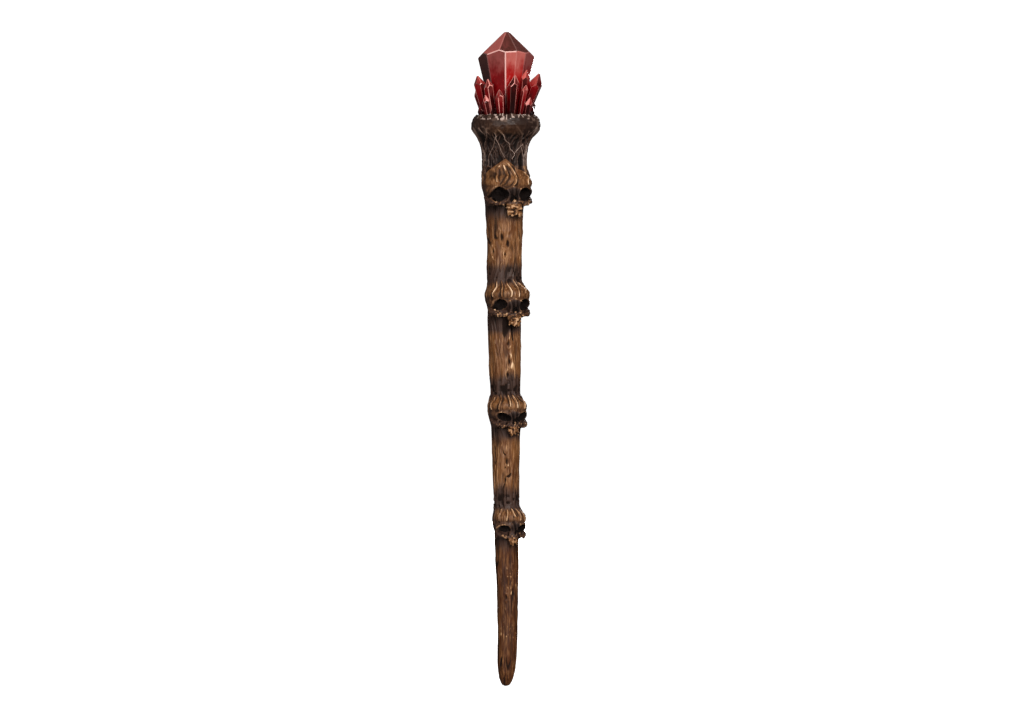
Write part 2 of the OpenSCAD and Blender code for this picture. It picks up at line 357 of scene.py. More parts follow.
def crystalResin(name, look):
    paint = Paint(name)
    tone, rise, edge = map(paint.attribute, ("tone", "rise", "edge"))
    cloud = paint.noise((1, 1, 0.5), 380, 4, 0.6)
    vein = paint.noise((1, 1, 0.3), 1300, 3, 0.6)
    share = tone + (cloud - 0.5) * 0.3 + (vein - 0.5) * 0.15
    upper = paint.blend(share.between(0.15, 0.5), look["upperDark"], look["upperMiddle"])
    upper = paint.blend(share.between(0.5, 0.85), upper, look["upperBright"])
    lower = paint.blend(share.between(0.15, 0.5), look["lowerDark"], look["lowerMiddle"])
    lower = paint.blend(share.between(0.55, 0.9), lower, look["lowerBright"])
    level = rise + (cloud - 0.5) * 0.45
    # upper colours over the lower ones: partly the resin's own colour change and partly painted reflection on
    # the upper faces
    body = paint.blend(level.between(0.74, 1.04), lower, upper)
    # painted reflection: pale where a face's tone is high
    body = paint.blend((share - 0.1 + level * 0.15).between(0.85, 1.2), body, look["pale"])
    # painted shade: dark at the foot, against the bed
    body = paint.blend(level.between(0.12, look["footTop"]), look["foot"], body)
    # painted glints along the bevelled edges, more of them higher up
    edgeGlint = edge * (rise + (vein - 0.5) * 0.7).between(0.25, 0.7)
    clean = level.between(0.1, 0.7)
    body = paint.blend(edgeGlint, body, look["rubbedAndGlint"])
    bump = paint.add("ShaderNodeBump", None, {
        "Strength": 0.5, "Distance": 0.00022, "Height": 0.8 * cloud + 0.2 * vein})
    return paint.finish({
        "Base Color": body, "Roughness": 0.36 - 0.2 * clean + 0.16 * cloud + 0.2 * edgeGlint, "Normal": bump,
        "Transmission Weight": look["clear"], "IOR": 1.5, "Specular IOR Level": look["shine"],
        "Coat Weight": 0.05 + 0.3 * clean, "Coat Roughness": 0.08,
        "Emission Color": body, "Emission Strength": look["glow"]})


crystalLook = {
    # the upper colours and pale are partly the resin's colour and partly painted reflection; foot is painted
    # shade against the bed; the edge colour is painted glints
    "upperDark": colour(70, 34, 26), "upperMiddle": colour(142, 68, 64), "upperBright": colour(182, 94, 86),
    "lowerDark": colour(48, 5, 4), "lowerMiddle": colour(122, 0, 6), "lowerBright": colour(164, 22, 20),
    "pale": colour(232, 150, 142), "foot": colour(26, 2, 2), "rubbedAndGlint": colour(250, 200, 192),
    "clear": 0.08,     # share of light that passes through
    "glow": 0.05,      # light that seems to come from inside
    "footTop": 0.58,   # where the dark foot ends, as a share of the height
    "shine": 0.3,
}
smallCrystalLook = dict(crystalLook, upperDark=colour(64, 20, 16), upperMiddle=colour(138, 48, 46),
                        upperBright=colour(198, 92, 84), lowerDark=colour(40, 4, 3), foot=colour(14, 1, 1),
                        rubbedAndGlint=colour(232, 150, 140), footTop=1.0, shine=0.15)
crystalPaint = crystalResin("redCrystal", crystalLook)
smallCrystalPaint = crystalResin("smallRedCrystal", smallCrystalLook)
print("materials made")


# ---- turned castings ----

def spinOutline(name, outline, around, weld, inside):  # inside: the surface faces the axis
    mesh = bpy.data.meshes.new(name)
    mesh.from_pydata([(r, 0, z) for r, z in outline], [(i, i + 1) for i in range(len(outline) - 1)], [])
    piece = bpy.data.objects.new(name, mesh)
    bpy.context.collection.objects.link(piece)
    pick(piece)
    bpy.ops.object.mode_set(mode="EDIT")
    bpy.ops.mesh.select_all(action="SELECT")
    bpy.ops.mesh.spin(steps=around, angle=2 * math.pi, center=(0, 0, 0), axis=(0, 0, 1))
    bpy.ops.mesh.select_all(action="SELECT")
    bpy.ops.mesh.remove_doubles(threshold=weld)
    bpy.ops.mesh.normals_make_consistent(inside=inside)
    bpy.ops.object.mode_set(mode="OBJECT")
    return piece


def turnedPiece(profile, around, step):  # profile: (radius, height) points in mm, from the axis to the axis
    corners = np.array(profile, float)
    lengths = np.hypot(*np.diff(corners, axis=0).T)
    along = np.concatenate([[0], np.cumsum(lengths)])
    count = int(along[-1] / step)
    spots = np.unique(np.concatenate([np.linspace(0, along[-1], count), along]))
    radii, heights = np.interp(spots, along, corners[:, 0]), np.interp(spots, along, corners[:, 1])
    return spinOutline("turned", list(zip(radii, heights)), around, 0.002, False)


def rimlessCarve(piece, low, high, amount):  # carves the wall only: the flat ends keep their height
    carveRadially(piece, amount)
    places = readPoints(piece)
    places[:, 2] = np.clip(places[:, 2], low, high)
    places[:, 0] += axisDrift(places[:, 2])
    writePoints(piece, places)


# ends: lowest and highest point, mm; golden: middle and reach, in mm, of the stretches where the paint
# is rubbed to gold; share: how golden they are; dull: more dark wash; shadow: painted shadow under the
# skull's face
stems = {
    "tip_shaft": {"ends": (0, 58.5), "golden": [(10, 6), (22, 9), (38, 9)], "share": 0.75, "dull": 0.1,
                  "shadow": 0.45},
    "lower_shaft": {"ends": (69.9, 98.8), "golden": [(86, 8.5)], "share": 1.0, "dull": 0, "shadow": 0.45},
    "middle_shaft": {"ends": (112.8, 141.2), "golden": [(127, 8)], "share": 0.92, "dull": 0, "shadow": 0.5},
    "upper_shaft": {"ends": (155.8, 183.6), "golden": [(169, 8)], "share": 0.95, "dull": 0, "shadow": 0.7},
}


def shaftLumps(turn, height):  # broad unevenness that the skulls take up where they meet a shaft
    return 0.2 * (patches(turn, height, 4, 9, 140) - 0.5)


for node, stem in stems.items():
    low, high = stem["ends"]
    isTip = node == "tip_shaft"
    wall = [(radius, height) for height, radius in bareShape if low < height < high]
    if isTip:
        bottom = [(0, 0), (0.7, 0.12)]
    else:
        bottom = [(0, low), (float(bareRadius(low)), low)]
    piece = turnedPiece(bottom + wall + [(float(bareRadius(high)), high), (0, high)], 300, 0.22)
    places = readPoints(piece)
    turn, height = turnOf(places), places[:, 2]
    radius = np.hypot(places[:, 0], places[:, 1])
    level, pit = woodGrain(turn, height)
    outside = smoothStep(0.3, 0.98, radius / bareRadius(height))
    rimlessCarve(piece, low, high, outside * ((level - 0.72) * grainDepth(height) + shaftLumps(turn, height)))
    golden = np.zeros(len(places))
    for middle, spread in stem["golden"]:
        golden = np.maximum(golden, np.exp(-((height - middle) / spread) ** 4))
    patchy = patches(turn, height, 6, 7, 130)
    fleck = smoothStep(0.52, 0.85, patches(turn, height, 80, 0.6, 131)) * smoothStep(0.45, 0.7, patchy)
    fleck *= isTip
    golden *= stem["share"] * (0.5 + 0.7 * patchy)
    ends = smoothStep(high - 9, high - 2, height)
    if low > 5:
        ends = np.maximum(ends, smoothStep(low + 10, low + 2, height))
    fromFace = np.abs(angleGap(frontAngle(turn), 18))
    # painted shadow on the top of the shaft, under the skull's face
    underFace = smoothStep(high - 4, high - 1, height) * smoothStep(112, 70, fromFace)
    paintPiece(piece,
               relief=(level - 0.6) * (1 + 0.7 * ends) + 0.3 * fleck,
               washAndShade=ends * 0.9 + 0.4 * smoothStep(0.5, 0.8, patchy) - 0.45 * golden + stem["dull"],
               giltAndGlint=0.15 + golden * 0.95 - ends * 0.15 + 0.3 * fleck,
               blackAndShadow=pit * 0.75 + stem["shadow"] * underFace)
    slotName, paint = ("tip_paint", tipPaint) if isTip else ("shaft_paint", woodPaint)
    finishPiece(piece, "grained_" + node, node, paint, 55)


# ---- strands: raised lines that run up a casting ----

def strandRise(angle, height, radius, strand):  # 0 away from the line to 1 on its crest
    steps = np.linspace(strand["heights"][0], strand["heights"][-1], 60)
    path = np.interp(steps, strand["heights"], strand["angles"])
    for _ in range(12):  # rounds the corners off
        path[1:-1] = 0.25 * path[:-2] + 0.5 * path[1:-1] + 0.25 * path[2:]
    slope = np.interp(height, steps, np.gradient(path, steps)) * math.pi / 180 * radius
    aside = np.abs(angleGap(angle, np.interp(height, steps, path))) * math.pi / 180 * radius
    gap = aside / np.sqrt(1 + slope ** 2)
    fade = smoothStep(strand["heights"][0] - 0.01, strand["heights"][0] + strand["taper"], height)
    fade *= smoothStep(strand["heights"][-1] + 0.01, strand["heights"][-1] - strand["taper"], height)
    return np.exp(-(gap / strand["width"]) ** 2) * fade


# border of the top skull's forehead: sideways angle from the front and height in mm
foreheadArch = [(-75, 194), (-49, 196.4), (-27, 198.3), (-8, 200.2), (3, 201.2), (15, 199.9), (33, 197.4),
                (58, 196.2), (85, 194.5)]
# raised lines on the top skull's forehead, each a list of (sideways mm, height mm), bottom first
topRidges = [
    [(-2.7, 191.7), (-3.4, 194.3), (-2.9, 197.3), (-1.6, 199.2)],
    [(-1.45, 190.7), (-0.4, 192.6), (0.9, 194.7), (0.46, 196.4), (-0.5, 199.6)],
    [(1.76, 189.6), (3.4, 192.2), (3.9, 194.7), (3.0, 197.5), (0.9, 200.2)],
    [(7.8, 190.9), (7.3, 192.6), (8.2, 194.7), (7.3, 196.8)],
]


def ridgeStrand(points, radius, width):  # from sideways positions to angles round a body of this radius
    return {"heights": [up for _, up in points], "taper": 0.9, "width": width,
            "angles": [math.degrees(math.asin(max(-0.99, min(0.99, side / radius)))) for side, _ in points]}


# ridges, and the grooves along both sides of them
def ridgedLines(ridges, angle, height, radius, reach, width):
    lines, broad = np.zeros(len(angle)), np.zeros(len(angle))
    for points in ridges:
        lines = np.maximum(lines, strandRise(angle, height, radius, ridgeStrand(points, reach, width)))
        broad = np.maximum(broad, strandRise(angle, height, radius, ridgeStrand(points, reach, 2.3 * width)))
    return lines, broad * (1 - lines)


def foreheadLines(angle, height, radius):  # the top skull's ridges, which also run up onto the collar
    lines, grooves = ridgedLines(topRidges, angle, height, radius, 9.3, 0.46)
    arch = np.interp(angle, *zip(*foreheadArch))
    border = np.exp(-((height - arch) / 0.42) ** 2) * smoothStep(70, 50, np.abs(angle))
    forehead = smoothStep(0.35, -0.35, height - arch)
    forehead *= smoothStep(-66, -52, angle) * smoothStep(104, 88, angle)
    return lines, grooves, border, forehead


# ---- collar ----

collar = {
    # (radius, height) from the neck's foot round the rim to the grit inside, mm
    "profile": [(8.5, 198.7), (8.42, 201), (8.5, 203), (8.75, 205), (9.35, 207.2), (10.5, 209.5),
                (11.9, 211.2), (12.9, 212.6), (13.25, 214), (13.1, 215.4), (12.75, 216.6), (12.2, 217.5),
                (11.4, 217.9), (10.5, 217.4), (10.1, 216)],
    "widest": 13.62,     # nothing stands out further than this, mm
    "roots": 104,
    "rootWidth": 0.32,   # mm
    "rootRise": 0.75,    # how far a root stands out, mm
    "broadRoots": (-98, -84, -70, 68, 82, 97, 130, 160, 188, 215, 238),   # angles from the front
    "floor": 215.2,
    "seed": 77,
}


def rootNet(angle, height, radius):  # thin roots that cross over one another up the neck
    rng = np.random.default_rng(collar["seed"])
    net = np.zeros(len(angle))
    for number in range(collar["roots"]):
        start = angleGap(360 * number / collar["roots"] + rng.uniform(-4, 4), 180)
        bottom = rng.uniform(190, 194) if rng.random() < 0.65 else rng.uniform(197, 206)
        if abs(start) < 60:
            bottom = max(bottom, float(np.interp(start, *zip(*foreheadArch))))
        top = rng.uniform(207, 213.5) if number % 3 else rng.uniform(211, 215)
        heights = np.linspace(bottom, top, 8)
        crossing = abs(start) < 75 or number % 2
        lean = rng.choice([-1, 1]) * rng.uniform(1.0, 4.2) if crossing else rng.uniform(-0.8, 0.8)
        angles = start + lean * (heights - 204) * (0.5 + 0.5 * (heights > 201)) + rng.uniform(-5, 5, 8)
        width = collar["rootWidth"] * rng.uniform(0.75, 1.35)
        strand = {"heights": heights, "angles": angles, "taper": 1.3, "width": width}
        net = np.maximum(net, strandRise(angle, height, radius, strand) * rng.uniform(0.55, 1.1))
    for start in collar["broadRoots"]:
        heights = np.linspace(190, 214, 8)
        strand = {"heights": heights, "angles": start + rng.uniform(-3, 3, 8), "taper": 2.5, "width": 1.05}
        net = np.maximum(net, strandRise(angle, height, radius, strand) * 0.95)
    return net


# how far the collar's surface is pushed out, mm, and the masks it came from
def collarCarve(angle, height, radius):
    turn = (angle + 270) / 360 % 1.0
    net = rootNet(angle, height, radius)
    lines, grooves, border, forehead = foreheadLines(angle, height, radius)
    lines = lines - 0.5 * grooves
    net = np.maximum(net * (1 - forehead), border * 0.5)
    rim = smoothStep(209, 212.6, height)
    knots = (1 - np.abs(2 * patches(turn, height, 46, 2.2, 9) - 1)) ** 2
    low = (1 - rim) * (1 - forehead)
    carve = net * collar["rootRise"] * (1 - 0.55 * rim) - 0.4 * low - 0.3 * low * knots
    carve += (lines * 0.4 - 0.1) * forehead
    return carve, net, lines, forehead, rim, knots


def makeCollar():
    rows = collar["profile"]
    piece = turnedPiece([(0, 198.7)] + rows + [(9.6, collar["floor"]), (0, collar["floor"])], 440, 0.2)
    places = readPoints(piece)
    radius = np.hypot(places[:, 0], places[:, 1])
    height = places[:, 2]
    turn = turnOf(places)
    angle = frontAngle(turn)
    carve, net, lines, forehead, rim, knots = collarCarve(angle, height, radius)
    low = (1 - rim) * (1 - forehead)
    wall = smoothStep(7.9, 8.3, radius) * smoothStep(217.4, 216.2, height)
    outer = smoothStep(10.2, 10.9, radius + 100 * (height < 214))
    lumps = patches(turn, height, 13, 3.2, 5) - 0.5
    small = patches(turn, height, 60, 0.9, 6) - 0.5
    carve = wall * outer * carve + smoothStep(8.5, 9.5, radius) * rim * (lumps * 0.55 + small * 0.24)
    rimlessCarve(piece, 198.7, 219, carve)
    places = readPoints(piece)
    top = smoothStep(216.6, 217.8, height)
    places[:, 2] += top * (patches(turn, radius, 22, 1.3, 12) - 0.5) * 0.7
    places[:, 2] += top * (patches(turn, radius, 70, 0.6, 13) - 0.5) * 0.5
    shrink = np.minimum(1, collar["widest"] / np.maximum(np.hypot(places[:, 0], places[:, 1]), 0.001))
    places[:, :2] *= shrink[:, None]
    writePoints(piece, places)
    inFront = smoothStep(48, 12, np.abs(angleGap(angle, 2)))
    band = smoothStep(209.5, 211.6, height) * smoothStep(215.9, 214.4, height)
    # the grit on the rim is pale flecks that are also painted glints, strongest at the front
    frontGlintShare = smoothStep(60, 20, np.abs(angleGap(angle, -4)))
    gritAndGlints = smoothStep(215.2, 216.8, height) * (0.25 + 0.75 * frontGlintShare)
    gritAndGlints *= smoothStep(0.62, 0.78, patches(turn, 2 * height + radius, 150, 0.9, 21))
    relief = net * 0.95 - (1 - rim) * (0.42 + 0.35 * (1 - net) * (0.4 + knots))
    relief += rim * (0.5 * small + 0.5 * lumps + 0.16)
    relief = relief * (1 - forehead) + (lines * 0.6 - 0.05) * forehead + 0.6 * gritAndGlints
    patchy = patches(turn, height, 16, 5, 33)
    glaze = 0.25 + 0.5 * patches(turn, height, 8, 4, 31)
    giltAndGlint = 0.3 + 0.6 * net * patchy + gritAndGlints * 0.9 + 0.2 * rim - 0.5 * band * inFront + 0.4 * forehead
    paintPiece(piece, relief,
               washAndShade=glaze * (1 - forehead) + 0.1 * band * inFront - 0.4 * gritAndGlints,
               giltAndGlint=np.minimum(giltAndGlint, 1),
               blackAndShadow=0.5 * (1 - net) * low * smoothStep(0.35, 0.7, patches(turn, height, 30, 2.5, 35)),
               bone=forehead + 0.3 * band * inFront)
    finishPiece(piece, "root_collar", "collar", collarPaint, 60)


makeCollar()


# ---- skulls ----

# wide, tall: size against the top skull; turn: of the face, from the front to the right, in degrees;
# top: the crown's height over the eyes; dull: more dark wash; sockets: sideways place, half width and
# half height in mm, and tilt; lean: how far the skull stands to the right; jaw: its move (sideways, up);
# ridges: (sideways place, height over the eyes) along each line of the forehead
skulls = [
    {"node": "skull_1", "seed": 501, "eyeHeight": 188.0, "wide": 1.0, "tall": 1.0, "turn": 18, "top": 10.7,
     "dull": 0.0,
     "socket": (-5.2, 2.85, 2.75, -16), "rightSocket": (5.2, 3.3, 2.55, -12),
     "socketDrop": -0.35, "lean": 0.6, "jaw": (0.0, 0.0), "ridges": []},
    {"node": "skull_2", "seed": 532, "eyeHeight": 145.5, "wide": 0.885, "tall": 0.96, "turn": 22,
     "top": 10.73, "dull": 0.0,
     "socket": (-6.0, 2.1, 2.1, -14), "rightSocket": (4.7, 2.8, 2.1, -24),
     "socketDrop": 0.2, "lean": 0.85, "jaw": (-0.4, 0.3),
     "ridges": [[(-4.4, 2.6), (-5.0, 4.1), (-4.0, 6.3), (-3.6, 9.8)],
                [(-1.65, 2.6), (-1.65, 6.2), (-1.45, 10.2)],
                [(1.5, 2.6), (1.95, 5.0), (0.7, 7.9), (0.9, 9.8)], [(4.3, 2.6), (4.4, 6.6), (4.0, 10.2)],
                [(6.2, 3.9), (6.9, 6.2), (4.9, 10.2)]]},
    {"node": "skull_3", "seed": 561, "eyeHeight": 103.0, "wide": 0.775, "tall": 0.92, "turn": 24,
     "top": 10.65, "dull": 0.1,
     "socket": (-5.1, 2.3, 1.4, -20), "rightSocket": (4.5, 2.8, 1.5, -24),
     "socketDrop": -0.1, "lean": 0.42, "jaw": (-0.8, 1.3),
     "ridges": [[(-2.7, 1.5), (-2.5, 3.6), (-1.9, 6.6), (-2.3, 9.0)], [(1.5, 3.2), (1.3, 7.0), (0.9, 9.6)],
                [(3.9, 2.8), (3.7, 6.6), (3.0, 9.2)], [(-5.2, 1.6), (-5.7, 4.5), (-4.6, 8.0)],
                [(6.2, 2.6), (6.5, 5.3), (5.4, 8.6)]]},
    {"node": "skull_4", "seed": 593, "eyeHeight": 60.5, "wide": 0.66, "tall": 0.88, "turn": 28, "top": 10.7,
     "dull": 0.2,
     "socket": (-6.1, 1.75, 1.2, -12), "rightSocket": (3.8, 2.2, 1.4, -14),
     "socketDrop": -0.2, "lean": 0.75, "jaw": (-1.9, 1.6),
     "ridges": [[(-0.6, 2.2), (-0.4, 3.8), (0.05, 7.6)], [(2.8, 3.6), (2.2, 5.1), (1.75, 8.0)],
                [(5.6, 1.6), (5.6, 3.8), (4.9, 7.6)], [(-3.0, 2.2), (-3.3, 4.6), (-2.5, 7.9)],
                [(4.1, 2.4), (4.3, 4.6), (3.6, 8.0)]]},
]


# lengths in mm, at the top skull's size and with the eyes at height 0
build = {
    "foot": -4.6,          # height of the flat underside
    "lap": 0.4,            # how far the crown reaches up inside the piece over it
    "lowest": -14,         # the teeth end above this
    "firstVoxel": 0.24,    # grain of the fused bones
    "voxel": 0.165,        # grain of the surface that is carved
    "teeth": 7,
    "smallBones": 11,      # the jumble over the teeth
    "knobs": 5,            # on the cheek at the jaw's hinge
    "sideRidges": 11,      # round the sides and back
}


def addBlob(place, size, tilt=0.0):  # an egg shape; tilt in degrees about the front axis
    bpy.ops.mesh.primitive_uv_sphere_add(segments=40, ring_count=24, radius=1, location=place,
                                         rotation=(0, math.radians(tilt), 0), scale=size)
    return bpy.context.object


def addTube(points, radii):  # a round bar through points, with its own radius at each
    curve = bpy.data.curves.new("bar", "CURVE")
    curve.dimensions = "3D"
    curve.bevel_depth = 1.0
    curve.bevel_resolution = 6
    curve.resolution_u = 10
    curve.use_fill_caps = True
    line = curve.splines.new("BEZIER")
    line.bezier_points.add(len(points) - 1)
    for spot, place, radius in zip(line.bezier_points, points, radii):
        spot.co, spot.radius = place, radius
        spot.handle_left_type = spot.handle_right_type = "AUTO"
    piece = bpy.data.objects.new("bar", curve)
    bpy.context.collection.objects.link(piece)
    pick(piece)
    bpy.ops.object.convert(target="MESH")
    return bpy.context.object


def subtract(piece, cutter):
    applyModifier(piece, "BOOLEAN", operation="DIFFERENCE", solver="EXACT", object=cutter)
    bpy.data.objects.remove(cutter)


def fuseBones(skull, rng):  # the skull before its sockets are cut
    wide, tall, top, foot = skull["wide"], skull["tall"], skull["top"], build["foot"]
    rim = top + build["lap"]
    crown = float(bareRadius(skull["eyeHeight"] + top * tall)) / wide
    below = float(bareRadius(skull["eyeHeight"] + foot * tall)) / wide
    deselectAll()
    parts = [turnedPiece([(0, foot), (below + 0.1, foot), (8.05, -2.6), (8.7, 0), (9.2, 2.2), (9.3, 4.5),
                          ((crown + 9.3) / 2 + 0.15, 6.9), (crown + 0.15, 9.2), (crown, top), (crown, rim),
                          (0, rim)], 96, 0.5)]
    parts.append(addBlob((0, -2.3, 4.2), (9.5, 8.2, 4.9)))     # forehead
    parts.append(addBlob((0, -2.3, 1.0), (9.45, 8.1, 4.2)))    # middle of the face
    for side in (-1, 1):  # cheek arch, and the bar between eye and nose
        arch = [(side * 9.1, -1.4, -1.2), (side * 8.6, -3.9, -2.6), (side * 7.0, -6.5, -3.5),
                (side * 4.6, -8.7, -3.9), (side * 2.6, -9.7, -3.0)]
        parts.append(addTube(arch, [0.5, 0.85, 0.85, 0.7, 0.6]))
        bar = [(side * 2.6, -9.9, 2.0), (side * 1.9, -10.4, -0.6), (side * 2.4, -9.9, -3.4)]
        parts.append(addTube(bar, [0.7, 0.6, 0.6]))
    parts.append(addBlob((7.7, -3.6, -2.7), (1.4, 1.9, 1.2)))  # jaw's hinge
    parts.append(addTube([(0, -9.8, 2.4), (0, -10.4, 0.6), (0, -10.4, -0.9)], [1.2, 0.85, 0.5]))  # nose
    jawSide, jawUp = skull["jaw"]
    parts.append(addBlob((0.3 + jawSide, -8.7, -4.2 + 0.5 * jawUp), (3.0, 2.1, 3.9 - 0.5 * jawUp)))
    for number in range(build["teeth"]):
        swing = math.radians(-56 + 118 * number / (build["teeth"] - 1) + rng.uniform(-5, 5))
        place = (0.4 + jawSide + 2.9 * math.sin(swing), -7.7 - 2.9 * math.cos(swing),
                 -7.4 + jawUp + rng.uniform(-0.35, 0.35))
        parts.append(addBlob(place, (0.5, 0.6, 1.55 + rng.uniform(-0.35, 0.35)), rng.uniform(-12, 12)))
    for _ in range(build["smallBones"]):
        swing = math.radians(rng.uniform(-55, 60))
        upper = (0.3 + jawSide + 2.3 * math.sin(swing), -8.2 - 2.5 * math.cos(swing),
                 -3.8 + rng.uniform(-0.7, 0.5))
        lower = (0.4 + jawSide + 3.0 * math.sin(swing + rng.uniform(-0.3, 0.3)),
                 -8.0 - 2.85 * math.cos(swing), -6.2 + jawUp)
        parts.append(addTube([upper, lower], [0.3, 0.42]))
    for _ in range(build["knobs"]):
        swing = math.radians(rng.uniform(-72, -46))
        place = (9.3 * math.sin(swing), -9.3 * math.cos(swing), -2.9 + rng.uniform(-0.9, 1.2))
        parts.append(addBlob(place, (0.6, 0.6, 0.6)))
    head = joinAll(parts)
    applyModifier(head, "REMESH", mode="VOXEL", voxel_size=build["firstVoxel"])
    applyModifier(head, "SMOOTH", factor=0.6, iterations=3)
    return head


def socketsOf(skull):  # left and right: sideways place, tilt, half width, half height
    found = []
    for side, name in ((-1, "socket"), (1, "rightSocket")):
        middle, halfWidth, halfHeight, tilt = skull[name]
        found.append((middle, side * tilt, halfWidth / skull["wide"], halfHeight / skull["tall"]))
    return found


def cutSockets(head, skull):
    for side, (middle, tilt, halfWidth, halfHeight) in zip((-1, 1), socketsOf(skull)):
        subtract(head, addBlob((middle, -9.0, skull["socketDrop"]), (halfWidth, 4.2, halfHeight), tilt))
        subtract(head, addBlob((side * 0.72, -10.9, -2.1), (0.62, 1.9, 1.25), side * -24))  # nose opening
    applyModifier(head, "REMESH", mode="VOXEL", voxel_size=build["voxel"] / max(skull["wide"], 0.8))
    applyModifier(head, "SMOOTH", factor=0.5, iterations=2)


def socketMasks(skull, places):  # 0 to 1: on the rim of a socket, and inside it
    rims = np.zeros(len(places))
    eyes = np.zeros(len(places))
    facing = smoothStep(0, -3, places[:, 1])
    for middle, tilt, halfWidth, halfHeight in socketsOf(skull):
        lean = math.radians(tilt)
        aside, above = places[:, 0] - middle, places[:, 2] - skull["socketDrop"]
        across = aside * math.cos(lean) - above * math.sin(lean)
        up = aside * math.sin(lean) + above * math.cos(lean)
        ring = np.hypot(across / halfWidth, up / halfHeight)
        eyes = np.maximum(eyes, smoothStep(1.1, 0.92, ring) * facing)
        outward = smoothStep(0.6, -1.6, aside) if middle < 0 else 0.15
        rims = np.maximum(rims, np.exp(-((ring - 1.17) / 0.1) ** 2) * facing * outward)
    return rims, eyes


